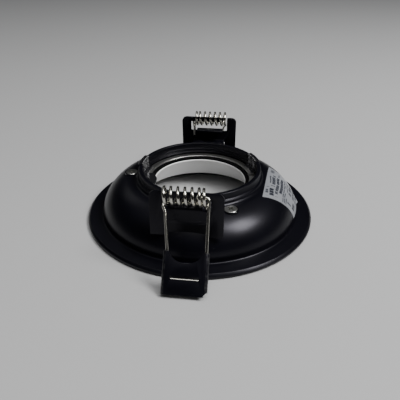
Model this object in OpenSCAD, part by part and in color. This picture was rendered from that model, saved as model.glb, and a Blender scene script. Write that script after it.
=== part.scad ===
// Recessed soffit downlight for a rear-loaded 50 mm reflector lamp.
// The light lies on its front face: z = 0 is the visible face of the flange and
// +Z points up into the soffit. The two torsion-spring clips stand at -Y (a) and
// +Y (b); clip b is clip a turned half a turn about Z.

/* [Flange and dome] */
// Outer radius of the flange
flange_r = 52.5; // [50:0.5:58]
// Thickness of the flange
flange_t = 2.6; // [2:0.1:3.4]
// Radius of the front aperture
aperture_r = 36; // [34:0.5:37]
// Height of the ring that the reflector sits on
seat_z = 5; // [4.4:0.1:5.4]
// Radius of the dome at its foot
dome_r = 45.3; // [44.6:0.1:46]
// Height of the dome's flat crown
dome_z = 18.3; // [17.9:0.1:18.8]
// Height where the dome's curve starts
foot_z = 4.5; // [4:0.1:6]
// Fullness of the dome's shoulder (2 is an ellipse)
dome_full = 1.7; // [1.6:0.05:1.9]
// Wall of the dome
wall_t = 1.6; // [1.4:0.1:2]
// Wall of the dome's crown
crown_t = 1.7; // [1.5:0.1:2]

/* [Collar] */
// Radius of the bore that takes the lamp
bore_r = 26; // [25.6:0.1:26.3]
// Outer radius of the collar
collar_r = 27.8; // [27.6:0.1:28.2]
// Height of the collar's rim
collar_z = 23.35; // [22.8:0.05:24]
// Radius of the fillet at the collar's foot
neck_fillet = 1.6; // [1.2:0.1:2]

/* [Reflector] */
// Radius of the reflector's throat
throat_r = 20.9; // [20.6:0.05:21.4]
// Radius of the reflector's mouth
mouth_r = 28.9; // [28:0.1:29.4]
// Wall of the reflector
reflector_t = 1.2; // [1:0.1:1.4]
// Radius of the screw bosses
boss_r = 2.6; // [2.3:0.1:2.8]

/* [Rings in the collar] */
// Inner radius of the bright lamp ring
lamp_ring_r = 22.8; // [22.2:0.1:23.4]
// Thickness of the lamp ring
lamp_ring_t = 0.6; // [0.4:0.1:0.8]
// Open gap of the split lamp ring
lamp_ring_gap = 1.2; // [0.6:0.1:2]
// Thickness of the black ring under the lamp ring
seat_ring_t = 0.8; // [0.6:0.1:1]
// Thickness of the two ring clips
ring_clip_t = 0.5; // [0.4:0.05:0.6]
// Arc that each ring clip covers, in degrees
ring_clip_arc = 20; // [16:0.5:22]
// Azimuths of the two ring clips, in degrees
ring_clip_az = [25, 175];
// Radius that the feet of the ring clips reach in to
ring_clip_foot_r = 24.2; // [23.6:0.1:24.8]
// Radius that the second ring clip's tongue reaches in to
tongue_tip_r = 19.8; // [19:0.1:20.4]
// Width of that tongue
tongue_w = 11.2; // [9:0.2:12]

/* [Reflector screws] */
// Radius of the circle of screws
screw_pcd_r = 32.2; // [32:0.1:32.6]
// Radius of a screw's head
screw_head_r = 2.8; // [2.5:0.1:2.9]
// Radius of a screw's thread
screw_r = 1.4; // [1.2:0.1:1.5]
// Length of a screw
screw_len = 9; // [7:0.5:10]

/* [Clip brackets] */
// Width of a bracket
plate_w = 28.6; // [27:0.2:30]
// Thickness of a bracket
plate_t = 1; // [0.8:0.1:1.2]
// Height of a bracket's top edge
plate_top = 32; // [31:0.1:33]
// Inset of a bracket's outer face at its top edge, from the foot of the dome
plate_inset = 4.4; // [4.1:0.1:4.8]
// Lean of a bracket, in degrees
plate_lean = 4.6; // [4:0.1:5.2]
// Height where a bracket's two side legs end
leg_end_z = 13.4; // [12.8:0.1:14.4]
// Width of the notch that the coil sits in
notch_w = 19; // [19:0.1:19.8]
// Gap between the coil and the shelf under it
shelf_gap = 0.65; // [0.4:0.05:0.8]
// Radius of the top corners of a bracket
plate_corner = 2.5; // [1:0.5:3]
// Height of the tongue that carries the coil
tongue_h = 2.3; // [1.8:0.1:2.4]
// Width of the foot between the side legs
foot_w = 17; // [15:0.5:18]
// Distance from the axis to the inner end of a foot
foot_in = 31.5; // [31:0.1:32]
// Radius of a rivet's head
rivet_head_r = 2.2; // [1.8:0.1:2.4]
// Radius of a rivet's shank
rivet_r = 1.2; // [1:0.1:1.4]
// Distance between the two rivets of a foot
rivet_gap = 9.2; // [8:0.2:10]

/* [Torsion springs] */
// Wire diameter
wire_d = 1.2; // [1:0.05:1.25]
// Mean radius of the coil
coil_r = 3.2; // [3.15:0.05:3.5]
// Number of turns
turns = 7; // [6:1:7]
// Pitch of the open turns
pitch = 2.64; // [2.5:0.02:2.66]
// Pitch of the half turns that close both ends
end_pitch = 1.75; // [1.74:0.01:1.8]
// Drop from a bracket's top edge to the hinge axis
hinge_drop = 1.2; // [1:0.1:1.3]
// Length of the leg that bears on the bracket, below the hinge axis
bearing_leg = 8.8; // [7.5:0.1:10]

/* [Flaps] */
// Angle of a flap below the horizontal at rest, in degrees
flap_angle = 55.5; // [54:0.5:55.5]
// Distance from the hinge axis to the flap's upper edge
flap_start = 20.2; // [19:0.1:21.4]
// Distance from the hinge axis to the flap's tip
flap_end = 36; // [34.6:0.1:36.2]
// Width of a flap
flap_w = 17.2; // [16:0.1:18]
// How far a flap sits to one side of its bracket
flap_shift = 1.7; // [1:0.1:2]
// Thickness of a flap
flap_t = 0.6; // [0.5:0.05:0.7]
// Depth of the scoop in a flap's upper edge
scoop_depth = 4.2; // [3:0.1:5]
// Width of the slot that shows the wire
slot_w = 10.6; // [8:0.1:11.5]
// Distance from the tip to the wire's cross bar
bar_from_tip = 5.6; // [5:0.1:6.5]

/* [Label] */
// Distance from the axis to the label's upper edge
label_in = 30.4; // [30.4:0.1:32]
// Width of the label at its upper edge
label_w = 30.7; // [26:0.1:32]
// Width of the label at the foot of the dome
label_low_w = 19.4; // [16:0.1:24]
// How far the label sits to one side of its own axis
label_shift = 2.3; // [0:0.1:3]
// Azimuth of the label's axis, in degrees
label_az = -5.8; // [-10:0.2:10]
// Thickness of the label
label_t = 0.15; // [0.1:0.01:0.2]

/* [Hidden] */
$fn = 96;
eps = 0.01;
slack = 0.05;          // clearance of a shank, a ring or a clip leg in its seat

// Levels of the stack in the collar
ledge_z = dome_z - crown_t;
throat_z = ledge_z - 0.1;
seat_ring_z = throat_z;
seat_inset = 0.25;
lamp_ring_z = seat_ring_z + seat_ring_t;
tongue_z = lamp_ring_z + lamp_ring_t;
groove_z = tongue_z + ring_clip_t;
groove_r = bore_r + 0.4;
ring_out_r = bore_r - 0.2;
clip_side_gap = 0.3;    // angle left beside a ring clip in its slot, in degrees

// The dome's curve: a superellipse from the foot to the crown
neck_step = 0.8;
neck_r = collar_r + neck_step + neck_fillet;
crown_r = neck_r + 0.8;
dome_steps = 18;
rim_chamfer = 0.3;
flange_edge = 0.8;
flange_bevel = 0.9;
aperture_chamfer = 1;
upstand_t = 2.2;
reflector_inset = 0.35; // from midway between the seat and the dome's wall to the reflector's edge
function curve(r, z, a) = [crown_r + r * pow(cos(a), 2 / dome_full),
                           foot_z + z * pow(sin(a), 2 / dome_full)];
function outer_dome(a, out = 0) = curve(dome_r - crown_r + out, dome_z - foot_z + out, a);
function inner_dome(a) = curve(dome_r - crown_r - wall_t, dome_z - foot_z - crown_t, a);
function arc(c, r, from, to, n = 8) =
    [for (i = [0:n]) c + r * [cos(from + (to - from) * i / n), sin(from + (to - from) * i / n)]];

// Screws, rivets and bosses
screw_az = [-60, 60, 180];
screw_seat_r = screw_head_r + 0.5;
screw_cone = screw_head_r - screw_r;
drive_depth = 1.1;
drive_w = 0.7;
pocket_gap = 0.15;
plate_y = dome_r - plate_inset;
pad_out = plate_y - 0.7;
pad_in = crown_r - 0.5;
rivet_y = (pad_in + pad_out) / 2 + 0.3;
rivet_tail_z = ledge_z - 0.9;
rivet_hole_z = foot_z + 4;
rivet_tail_h = 1.4;
rivet_tail_r = 1.9;
rivet_head_h = 1.2;

// Hinge axis: the pin end of the bail clears the bracket's outer face
wire_r = wire_d / 2;
hinge_y = plate_y + wire_r + 0.25;
hinge_z = plate_top - hinge_drop;
shelf_drop = hinge_drop + coil_r + wire_r + shelf_gap;
shelf_bend = 1.9;       // also the relief beside the shelf, down to its line of bend
shelf_len = 3;
shelf_x = [-7.4, 6.1];
foot_t = plate_t;
foot_relief = 0.3;      // gap on each side of a foot, beside the legs

// Coil: x along the hinge axis as a function of the turns wound
coil_x0 = -8.68;
function coil_x(t) = coil_x0
    + (end_pitch - pitch / 2) * min(t, 0.5) / 0.5
    + pitch * max(0, min(t, turns - 1.5) - 0.5)
    + end_pitch * max(0, t - (turns - 1.5));
coil_x1 = coil_x(turns);
wire_sides = 24;       // sides of the bail's wire, where it is drawn as a mesh
rings = 8;             // rings in one turn of the coil
sides = 6;             // sides of the wire's tube

// Flap and bail, measured along the flap (s) from the hinge axis
roll_in = wire_r + slack;
roll_out = roll_in + flap_t;
roll_a = flap_shift - flap_w / 2 + roll_out;
roll_b = flap_shift + flap_w / 2 - roll_out;
arm_gap = 0.14;        // gap between the coil and the arm that ends in the pin
arm_b_x = coil_x(turns - (90 - flap_angle) / 360) + wire_d + arm_gap;
pin_len = 3.6;         // length of the bail's pin end inside the coil
pin_bend = 1.2;        // bend radius at the pin end
bar_bend = 1.8;        // bend radius at the cross bar
arm_lead = 7;          // straight wire before the pin's arm starts to slant
joint_cut = 0.1;       // gap between two wires at a slight bend, closed by a ball
joint_lip = 0.03;      // how far that ball stands out
entry_gap = 0.8;       // straight wire before it enters the flap
bar_s = flap_end - bar_from_tip;
entry_s = flap_start - entry_gap;
scoop_half = 6.6;
scoop_r = (scoop_half * scoop_half + scoop_depth * scoop_depth) / (2 * scoop_depth);
slot_h = 1.4;
bar_show = 0.45;       // how much of the cross bar the slot shows
slot_s = bar_s - wire_r + bar_show;
tip_chamfer = 1.4;

// Azimuth of the open gap of the lamp ring, just past the end of the first ring clip
ring_gap_az = ring_clip_az[0] - ring_clip_arc / 2 - 5;
label_lift = 0.03;
label_low = 9;         // angle on the dome's curve where the label ends
label_reach = 1;       // how far the label's outline runs out past the dome

black = [0.03, 0.03, 0.035];
steel = [0.72, 0.71, 0.68];

// ---- helpers -------------------------------------------------------------

// Clip a (side 0) at -Y, clip b (side 1) at +Y
module at_side(side) {
    rotate([0, 0, 180 * side]) children();
}

// Frame of a bracket: y = 0 is its outer face and z = 0 its top edge
module in_plate(side) {
    at_side(side) translate([0, -plate_y, plate_top]) rotate([-plate_lean, 0, 0]) children();
}

// Frame of a flap: the hinge axis is x, -y runs down the flap, z is its outer normal
module in_flap(side) {
    at_side(side) translate([0, -hinge_y, hinge_z]) rotate([flap_angle, 0, 0]) children();
}

module rod(p, q, r) {
    v = q - p;
    translate(p)
        rotate([0, acos(v[2] / norm(v)), atan2(v[1], v[0])])
            cylinder(r = r, h = norm(v), $fn = wire_sides);
}

module slab(lo, hi) {
    translate(lo) cube(hi - lo);
}

// ---- body ----------------------------------------------------------------

module housing_outside() {
    foot_r = 0.8;
    neck_top = dome_z + neck_fillet;
    rotate_extrude() polygon(concat(
        [[0, 0], [flange_r - flange_edge, 0], [flange_r, flange_edge],
         [flange_r, flange_t - flange_bevel], [flange_r - flange_bevel, flange_t]],
        arc([dome_r + foot_r, flange_t + foot_r], foot_r, 270, 180, 4),
        [for (i = [0:dome_steps]) outer_dome(90 * i / dome_steps)],
        arc([neck_r, neck_top], neck_fillet, 270, 180, 6),
        [[collar_r, neck_top + 0.5], [collar_r, collar_z - rim_chamfer],
         [collar_r - rim_chamfer, collar_z], [0, collar_z]]));
}

module housing_inside() {
    rotate_extrude() polygon(concat(
        [[0, -1], [aperture_r + aperture_chamfer + 1, -1], [aperture_r, aperture_chamfer],
         [aperture_r, seat_z], [aperture_r + upstand_t, seat_z],
         [aperture_r + upstand_t, flange_t], [dome_r - wall_t, flange_t]],
        [for (i = [0:dome_steps]) inner_dome(90 * i / dome_steps)],
        [[groove_r, ledge_z], [groove_r, groove_z], [bore_r, groove_z],
         [bore_r, collar_z - rim_chamfer], [bore_r + rim_chamfer + 1, collar_z + 1],
         [0, collar_z + 1]]));
}

module housing() {
    color(black) difference() {
        union() {
            housing_outside();
            for (side = [0, 1])
                at_side(side) slab([-foot_w / 2, -pad_out, foot_z], [foot_w / 2, -pad_in, dome_z]);
            for (az = screw_az)
                rotate([0, 0, az]) translate([screw_pcd_r, 0, foot_z])
                    cylinder(r = screw_seat_r, h = dome_z - foot_z);
        }
        housing_inside();
        for (az = screw_az)
            rotate([0, 0, az]) translate([screw_pcd_r, 0, 0]) {
                translate([0, 0, seat_z + 1])
                    cylinder(r = boss_r + pocket_gap, h = ledge_z - seat_z - 1);
                cylinder(r = screw_r + slack, h = dome_z + 1);
                translate([0, 0, dome_z - screw_cone])
                    cylinder(r1 = screw_r + slack, r2 = screw_head_r + slack, h = screw_cone);
                translate([0, 0, dome_z]) cylinder(r = screw_head_r + slack, h = 1);
            }
        for (side = [0, 1], x = [-1, 1])
            at_side(side) translate([x * rivet_gap / 2, -rivet_y, rivet_hole_z]) {
                cylinder(r = rivet_r + slack, h = dome_z);
                cylinder(r = rivet_tail_r + pocket_gap, h = rivet_tail_z - rivet_hole_z);
            }
        for (i = [0, 1])
            rotate([0, 0, ring_clip_az[i] - ring_clip_arc / 2 - clip_side_gap])
                rotate_extrude(angle = ring_clip_arc + 2 * clip_side_gap)
                    translate([bore_r - 1, tongue_z])
                        square([1 + 0.1 + ring_clip_t + slack, collar_z]);
    }
}

module reflector() {
    cone_top = throat_z - 0.4;
    slope = (mouth_r - throat_r) / (cone_top - seat_z);
    function wall_mid(z) = throat_r + slope * (cone_top - z) + reflector_t * 0.6;
    flange_out = (aperture_r + upstand_t + dome_r - wall_t) / 2 - reflector_inset;
    color("white") difference() {
        union() {
            rotate_extrude() polygon([
                [throat_r, cone_top], [mouth_r, seat_z], [flange_out, seat_z],
                [flange_out, seat_z + reflector_t],
                [mouth_r + reflector_t * 0.8, seat_z + reflector_t],
                [throat_r + reflector_t * 1.2, throat_z - reflector_t],
                [ring_out_r, throat_z - reflector_t], [ring_out_r, throat_z],
                [throat_r + 0.3, throat_z], [throat_r + 0.05, throat_z - 0.15]]);
            for (az = screw_az)
                rotate([0, 0, az]) {
                    translate([screw_pcd_r, 0, seat_z + eps])
                        cylinder(r = boss_r, h = ledge_z - seat_z - eps);
                    translate([0, reflector_t / 2, 0]) rotate([90, 0, 0])
                        linear_extrude(height = reflector_t) polygon([
                            [wall_mid(seat_z + 1), seat_z + 1], [screw_pcd_r, seat_z + 1],
                            [screw_pcd_r, ledge_z - 3], [wall_mid(ledge_z - 3), ledge_z - 3]]);
                }
        }
        for (az = screw_az)
            rotate([0, 0, az]) translate([screw_pcd_r, 0, dome_z - screw_len - 0.6])
                cylinder(r = screw_r + 0.03, h = screw_len);
    }
}

module seat_ring() {
    color(black) rotate_extrude()
        translate([throat_r + seat_inset, seat_ring_z])
            square([ring_out_r - throat_r - seat_inset, seat_ring_t]);
}

module lamp_ring() {
    color(steel) difference() {
        rotate_extrude()
            translate([lamp_ring_r, lamp_ring_z]) square([ring_out_r - lamp_ring_r, lamp_ring_t]);
        rotate([0, 0, ring_gap_az])
            slab([lamp_ring_r - 1, -lamp_ring_gap / 2, lamp_ring_z - 1],
                 [ring_out_r + 1, lamp_ring_gap / 2, tongue_z + 1]);
    }
}

// A strip hooked over the collar's rim, with a foot that holds the rings down. The
// second one also has a tongue beside its foot, pointed towards the lamp.
module ring_clip(i) {
    leg_r = bore_r + 0.1;
    out_r = collar_r + slack;
    top = collar_z + ring_clip_t;
    hook = 2.4;
    edge = 0.2;
    tongue_root = 25.1;
    tongue_shoulder = tongue_tip_r + 1.1;
    color(black) rotate([0, 0, ring_clip_az[i] - ring_clip_arc / 2]) {
        rotate_extrude(angle = ring_clip_arc) polygon([
            [ring_clip_foot_r, tongue_z], [leg_r + ring_clip_t, tongue_z],
            [leg_r + ring_clip_t, collar_z], [out_r, collar_z], [out_r, collar_z - hook],
            [out_r + ring_clip_t, collar_z - hook], [out_r + ring_clip_t, top - edge],
            [out_r + ring_clip_t - edge, top], [leg_r + edge, top], [leg_r, top - edge],
            [leg_r, groove_z], [ring_clip_foot_r, groove_z]]);
        if (i == 1)
            rotate([0, 0, 1.5 * ring_clip_arc]) translate([0, 0, tongue_z + slack])
                linear_extrude(height = ring_clip_t - 2 * slack) polygon([
                    [tongue_root, -tongue_w / 2], [tongue_shoulder, -tongue_w / 2],
                    [tongue_tip_r, 0], [tongue_shoulder, tongue_w / 2],
                    [tongue_root, tongue_w / 2]]);
    }
}

module reflector_screw(i) {
    color(steel) rotate([0, 0, screw_az[i]]) translate([screw_pcd_r, 0, 0]) difference() {
        union() {
            translate([0, 0, dome_z - screw_cone])
                cylinder(r1 = screw_r, r2 = screw_head_r, h = screw_cone);
            translate([0, 0, dome_z - eps]) cylinder(r1 = screw_head_r, r2 = screw_head_r - 0.3, h = 0.15);
            translate([0, 0, dome_z - screw_len]) cylinder(r = screw_r, h = screw_len - screw_cone);
        }
        for (a = [0, 90])
            rotate([0, 0, a])
                slab([-screw_r, -drive_w / 2, dome_z - drive_depth], [screw_r, drive_w / 2, dome_z + 1]);
    }
}

// ---- brackets ------------------------------------------------------------

module plate_outline() {
    half = plate_w / 2;
    leg_end = (plate_top - leg_end_z) / cos(plate_lean);
    foot_drop = (plate_top - dome_z) / cos(plate_lean);
    difference() {
        union() {
            translate([-half, -leg_end]) square([plate_w, leg_end - plate_corner]);
            translate([-half + plate_corner, -leg_end])
                square([plate_w - 2 * plate_corner, leg_end]);
            for (x = [-1, 1])
                translate([x * (half - plate_corner), -plate_corner]) circle(r = plate_corner);
        }
        translate([-notch_w / 2, -shelf_drop - shelf_bend])
            square([notch_w, shelf_drop + shelf_bend + 1]);
        translate([-foot_w / 2, -leg_end - 1]) square([foot_w, leg_end + 1 - foot_drop]);
    }
    translate([coil_x0 + wire_d, -tongue_h])
        square([notch_w / 2 - coil_x0 - wire_d + eps, tongue_h]);
}

module bracket(side) {
    foot_y = plate_y + (plate_top - dome_z) * tan(plate_lean) - plate_t / 2;
    foot_half = foot_w / 2 - foot_relief;
    color(black) difference() {
        union() {
            in_plate(side) {
                translate([0, plate_t, 0]) rotate([90, 0, 0])
                    linear_extrude(height = plate_t) plate_outline();
                translate([shelf_x[0], 0, 0]) rotate([90, 0, 90])
                    linear_extrude(height = shelf_x[1] - shelf_x[0]) {
                        intersection() {
                            translate([shelf_bend, -shelf_drop - shelf_bend]) difference() {
                                circle(r = shelf_bend);
                                circle(r = shelf_bend - plate_t);
                            }
                            translate([0, -shelf_drop - shelf_bend])
                                square([shelf_bend, shelf_bend + eps]);
                        }
                        translate([shelf_bend, -shelf_drop - plate_t]) square([shelf_len, plate_t]);
                    }
            }
            at_side(side)
                slab([-foot_half, -foot_y, dome_z], [foot_half, -foot_in, dome_z + foot_t]);
        }
        for (x = [-1, 1])
            at_side(side) translate([x * rivet_gap / 2, -rivet_y, dome_z - 1])
                cylinder(r = rivet_r + slack, h = foot_t + 2);
    }
}

module bracket_rivet(side, x) {
    seat = dome_z + foot_t;
    color(steel) at_side(side) translate([x * rivet_gap / 2, -rivet_y, 0])
        rotate_extrude() polygon([
            [0, seat + rivet_head_h], [rivet_head_r * 0.5, seat + rivet_head_h * 0.9],
            [rivet_head_r * 0.88, seat + rivet_head_h * 0.5], [rivet_head_r, seat], [rivet_r, seat],
            [rivet_r, rivet_tail_z], [rivet_tail_r, rivet_tail_z],
            [rivet_tail_r, rivet_tail_z - rivet_tail_h], [0, rivet_tail_z - rivet_tail_h]]);
}

// ---- torsion springs -----------------------------------------------------

// Points of the wire in the hinge frame [x, outward, up]: the lead where the bail
// joins on, the turns, then the leg that bears on the bracket's inner face
coil_foot = [coil_x0, 0, -coil_r];
lead = [[1.18, 2.5, -2.3], [0.88, 2.1, -1.75], [0.53, 1.68, -1.22], [0.23, 1.2, -0.7],
        [0.04, 0.62, -0.22]];
entry = [roll_a, entry_s * cos(flap_angle), -entry_s * sin(flap_angle)];
lead_end = coil_foot + lead[0];
bail_top = lead_end + wire_d * unit(entry - lead_end);
leg_bend = 1.15;
leg_out = hinge_y - plate_y + plate_t + wire_r + 0.1;
function leg_lean(drop) = (hinge_drop + drop) * tan(plate_lean);
leg_low_y = -leg_out + leg_lean(bearing_leg);
leg_high_y = -leg_out + leg_lean(coil_r + leg_bend);
coil_points = concat(
    [bail_top],
    [for (p = lead) coil_foot + p],
    [for (i = [0:turns * rings])
        let (t = i / rings, a = -90 - 360 * t) [coil_x(t), coil_r * cos(a), coil_r * sin(a)]],
    [[coil_x1, leg_high_y + leg_bend, -coil_r],
     [coil_x1, leg_high_y + leg_bend * (1 - sin(45)), -coil_r - leg_bend * (1 - cos(45))],
     [coil_x1, leg_high_y, -coil_r - leg_bend],
     [coil_x1, leg_low_y, -bearing_leg]]);

function unit(v) = v / norm(v);
function ring_at(p, i) =
    let (last = len(p) - 1,
         t = unit(p[min(i + 1, last)] - p[max(i - 1, 0)]),
         n = unit([1, 0, 0] - t[0] * t),
         b = cross(t, n))
    [for (k = [0:sides - 1]) p[i] + wire_r * (cos(360 * k / sides) * n + sin(360 * k / sides) * b)];

module tube(p) {
    count = len(p);
    points = [for (i = [0:count - 1]) each ring_at(p, i)];
    function at(i, k) = i * sides + k % sides;
    faces = concat(
        [for (i = [0:count - 2], k = [0:sides - 1]) each [
            [at(i, k), at(i, k + 1), at(i + 1, k + 1)],
            [at(i, k), at(i + 1, k + 1), at(i + 1, k)]]],
        [for (k = [1:sides - 2]) [at(0, 0), at(0, k + 1), at(0, k)]],
        [for (k = [1:sides - 2]) [at(count - 1, 0), at(count - 1, k), at(count - 1, k + 1)]]);
    polyhedron(points = points, faces = faces);
}

// Least gap of the wire to itself, over points at least half a turn apart
spring_gap = min([for (i = [0:len(coil_points) - 1], j = [i + rings / 2:1:len(coil_points) - 1])
    norm(coil_points[i] - coil_points[j])]) - wire_d;
echo(spring_gap = spring_gap);

module spring(side) {
    color(steel) at_side(side) translate([0, -hinge_y, hinge_z]) mirror([0, 1, 0]) tube(coil_points);
}

// ---- bails and flaps -----------------------------------------------------

// A square bend of the wire in the plane of x and y, from an azimuth on
module elbow(centre, radius, azimuth) {
    translate(centre) rotate([0, 0, azimuth]) rotate_extrude(angle = 90, $fn = 2 * wire_sides)
        translate([radius, 0]) circle(r = wire_r, $fn = wire_sides);
}

// A slight bend of the wire: a ball over the cut ends of two rods
module slight_bend(at) {
    translate(at) sphere(r = wire_r + joint_lip, $fn = wire_sides);
}

// A point of the hinge frame [x, outward, up] in the frame of a flap
function to_flap(p) = [p[0], p[2] * sin(flap_angle) - p[1] * cos(flap_angle),
                       p[2] * cos(flap_angle) + p[1] * sin(flap_angle)];

module wire_bail(side) {
    bar_in = bar_s - bar_bend;
    entry_a = [roll_a, -entry_s, 0];
    entry_b = [roll_b, -entry_s, 0];
    top_a = to_flap(bail_top);
    top_b = [arm_b_x, -arm_lead, 0];
    way_b = joint_cut * unit(entry_b - top_b);
    cut = [0, joint_cut, 0];
    color(steel) in_flap(side) {
        rod(top_a, entry_a - joint_cut * unit(entry_a - top_a), wire_r);
        slight_bend(entry_a);
        rod(entry_a - cut, [roll_a, -bar_in, 0], wire_r);
        elbow([roll_a + bar_bend, -bar_in, 0], bar_bend, 180);
        rod([roll_a + bar_bend, -bar_s, 0], [roll_b - bar_bend, -bar_s, 0], wire_r);
        elbow([roll_b - bar_bend, -bar_in, 0], bar_bend, 270);
        rod([roll_b, -bar_in, 0], entry_b - cut, wire_r);
        slight_bend(entry_b);
        rod(entry_b - way_b, top_b + way_b, wire_r);
        slight_bend(top_b);
        rod(top_b + cut, [arm_b_x, -pin_bend, 0], wire_r);
        elbow([arm_b_x - pin_bend, -pin_bend, 0], pin_bend, 0);
        rod([arm_b_x - pin_bend, 0, 0], [arm_b_x - pin_bend - pin_len, 0, 0], wire_r);
    }
}

// Section of a flap: a plate over the wires with both edges rolled round them
module flap_section() {
    for (roll = [[roll_a, 1], [roll_b, -1]])
        translate([roll[0], 0]) difference() {
            circle(r = roll_out);
            circle(r = roll_in);
            translate([roll[1] > 0 ? 0 : -roll_out - 1, -roll_in - eps])
                square([roll_out + 1, 2 * roll_in + eps]);
        }
    translate([roll_a, roll_in]) square([roll_b - roll_a, flap_t]);
}

module flap(side) {
    color(black) in_flap(side) difference() {
        translate([0, -flap_start, 0]) rotate([90, 0, 0])
            linear_extrude(height = flap_end - flap_start) flap_section();
        translate([flap_shift, -flap_start - scoop_depth + scoop_r, roll_in - slack])
            cylinder(r = scoop_r, h = flap_t + 2 * slack);
        slab([flap_shift - slot_w / 2, -slot_s, roll_in - slack],
             [flap_shift + slot_w / 2, -slot_s + slot_h, roll_out + slack]);
        translate([flap_shift + flap_w / 2, -flap_end, -roll_out - 1])
            rotate([0, 0, 45]) slab([-tip_chamfer / sqrt(2), -tip_chamfer, 0],
                                    [tip_chamfer / sqrt(2), tip_chamfer, 2 * roll_out + 2]);
    }
}

// ---- label ---------------------------------------------------------------

// The dome's skin, cut to the outline that the film has in plan: its sides draw in
// towards the foot, as a flat film's do on a dome
module label() {
    steps = 16;
    step = (90 - label_low) / steps;
    out = label_lift + label_t;
    end_x = dome_r + label_reach;
    color([0.8, 0.8, 0.82]) rotate([0, 0, label_az]) intersection() {
        rotate([0, 0, -90]) rotate_extrude(angle = 180) polygon(concat(
            [for (i = [0:steps]) outer_dome(label_low + step * i, label_lift)],
            [[neck_r + slack, dome_z + label_lift], [neck_r + slack, dome_z + out]],
            [for (i = [steps:-1:0]) outer_dome(label_low + step * i, out)]));
        linear_extrude(height = dome_z + 1) polygon([
            [label_in, label_shift - label_w / 2], [end_x, label_shift - label_low_w / 2],
            [end_x, label_shift + label_low_w / 2], [label_in, label_shift + label_w / 2]]);
    }
}

housing();
reflector();
seat_ring();
lamp_ring();
ring_clip(0);  // ring_clip_1
ring_clip(1);  // ring_clip_2
reflector_screw(0);  // reflector_screw_1
reflector_screw(1);  // reflector_screw_2
reflector_screw(2);  // reflector_screw_3
bracket(0);  // bracket_a
bracket(1);  // bracket_b
bracket_rivet(0, -1);  // bracket_rivet_a1
bracket_rivet(0, 1);  // bracket_rivet_a2
bracket_rivet(1, -1);  // bracket_rivet_b1
bracket_rivet(1, 1);  // bracket_rivet_b2
spring(0);  // spring_a
spring(1);  // spring_b
wire_bail(0);  // wire_bail_a
wire_bail(1);  // wire_bail_b
flap(0);  // flap_a
flap(1);  // flap_b
label();
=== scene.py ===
"""Dresses the soffit downlight: its meshes, its finishes, the stage and the camera.

Sizes are in millimetres in the row's frame, and become metres when a mesh is made.
Clip a is at -Y and clip b is the same clip turned half a turn about Z.
"""
import math

import bmesh
import bpy
from mathutils import Matrix, Vector


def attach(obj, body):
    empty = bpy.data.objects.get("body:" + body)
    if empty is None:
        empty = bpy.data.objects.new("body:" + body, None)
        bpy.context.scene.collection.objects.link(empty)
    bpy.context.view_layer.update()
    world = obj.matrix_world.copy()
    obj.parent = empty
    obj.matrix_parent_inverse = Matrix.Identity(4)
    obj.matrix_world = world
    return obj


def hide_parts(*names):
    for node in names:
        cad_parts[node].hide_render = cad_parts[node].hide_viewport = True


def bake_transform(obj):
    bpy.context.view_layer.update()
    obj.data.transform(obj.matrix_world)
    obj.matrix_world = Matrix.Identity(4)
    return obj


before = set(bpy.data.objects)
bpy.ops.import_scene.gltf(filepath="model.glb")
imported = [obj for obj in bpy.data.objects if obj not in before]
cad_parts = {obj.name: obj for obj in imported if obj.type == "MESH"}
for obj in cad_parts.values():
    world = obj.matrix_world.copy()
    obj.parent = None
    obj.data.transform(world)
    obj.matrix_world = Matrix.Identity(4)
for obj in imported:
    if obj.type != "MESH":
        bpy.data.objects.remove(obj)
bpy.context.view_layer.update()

bl_info = {
    "name": "Soffit Downlight",
    "version": (1, 0, 0),
    "blender": (4, 5, 0),
    "location": "View3D > Sidebar > Downlight",
    "description": "Builds a recessed soffit downlight with sprung clips, its finishes and its stage",
    "category": "Add Mesh",
}

MM = 0.001
SIDES = {"a": Matrix.Identity(4), "b": Matrix.Rotation(math.pi, 4, "Z")}

# Sizes shared by pieces that touch, as in the part's source
FLANGE_R, FLANGE_T = 52.5, 2.6
APERTURE_R, SEAT_Z = 36.0, 5.0
DOME_R, DOME_Z, FOOT_Z, DOME_FULL, CROWN_R = 45.3, 18.3, 4.5, 1.7, 31.0
WALL_T, LEDGE_Z = 1.6, 16.6
COLLAR_R, BORE_R, COLLAR_Z = 27.8, 26.0, 23.35
SCREW_RING, SCREW_ANGLES = 32.2, (-60, 60, 180)
THROAT_R, SEAT_RING_Z, LAMP_RING_Z, TONGUE_Z, GROOVE_Z = 20.9, 16.5, 17.3, 17.9, 18.4
LAMP_RING_R, RING_OUT_R, RING_GAP_ANGLE = 22.8, 25.8, 10.0
CLIP_ANGLES, CLIP_ARC, CLIP_FOOT_R = (25.0, 175.0), 20.0, 24.2
PLATE_Y, PLATE_TOP, PLATE_LEAN, PLATE_T = 40.9, 32.0, 4.6, 1.0
RIVET_X, RIVET_Y = 4.6, 35.65
HINGE_Y, HINGE_Z, FLAP_ANGLE = 41.75, 30.8, 55.5
COIL_R, TURNS, PITCH, END_PITCH, COIL_X0 = 3.2, 7, 2.64, 1.75, -8.68
# The wire from the bail to the coil, measured from the coil's foot [x, outward, up]
LEAD = ((1.18, 2.5, -2.3), (0.88, 2.1, -1.75), (0.53, 1.68, -1.22), (0.23, 1.2, -0.7),
        (0.04, 0.62, -0.22))
ARM_B_X, ROLL_A_X, ROLL_B_X = 8.73, -5.65, 9.05
FLAP_START, FLAP_END, BAR_S, ENTRY_GAP = 20.2, 36.0, 30.4, 0.8
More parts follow.
